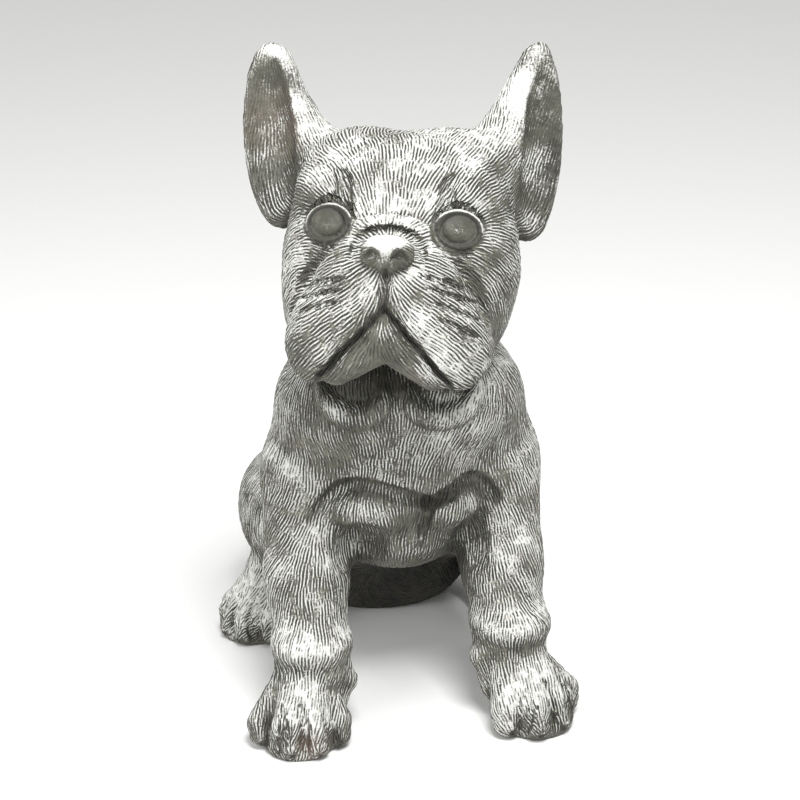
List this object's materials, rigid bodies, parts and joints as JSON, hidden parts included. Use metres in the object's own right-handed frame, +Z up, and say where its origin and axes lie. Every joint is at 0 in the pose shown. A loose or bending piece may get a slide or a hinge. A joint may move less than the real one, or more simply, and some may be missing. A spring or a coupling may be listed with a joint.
{
  "type": "sitting french bulldog garden statue",
  "caption": "Cast stone garden statue of a sitting French bulldog puppy, upright ears, carved coat, stands by its own weight on its paws and seat.",
  "frame": {"origin": "middle of the footprint, on the ground plane that the paws and the seat stand on", "axes": "+Z up, -Y the way the chest faces, +X to the right as seen from the front"},
  "size_m": [0.2038, 0.2816, 0.3781],
  "materials": {
    "cast_stone": "matt grey-olive cast stone with a dry-brushed chalk white on the ridges of its coat"
  },
  "bodies": {
    "root": {"bulldog_statue": "cast_stone"}
  },
  "joints": []
}
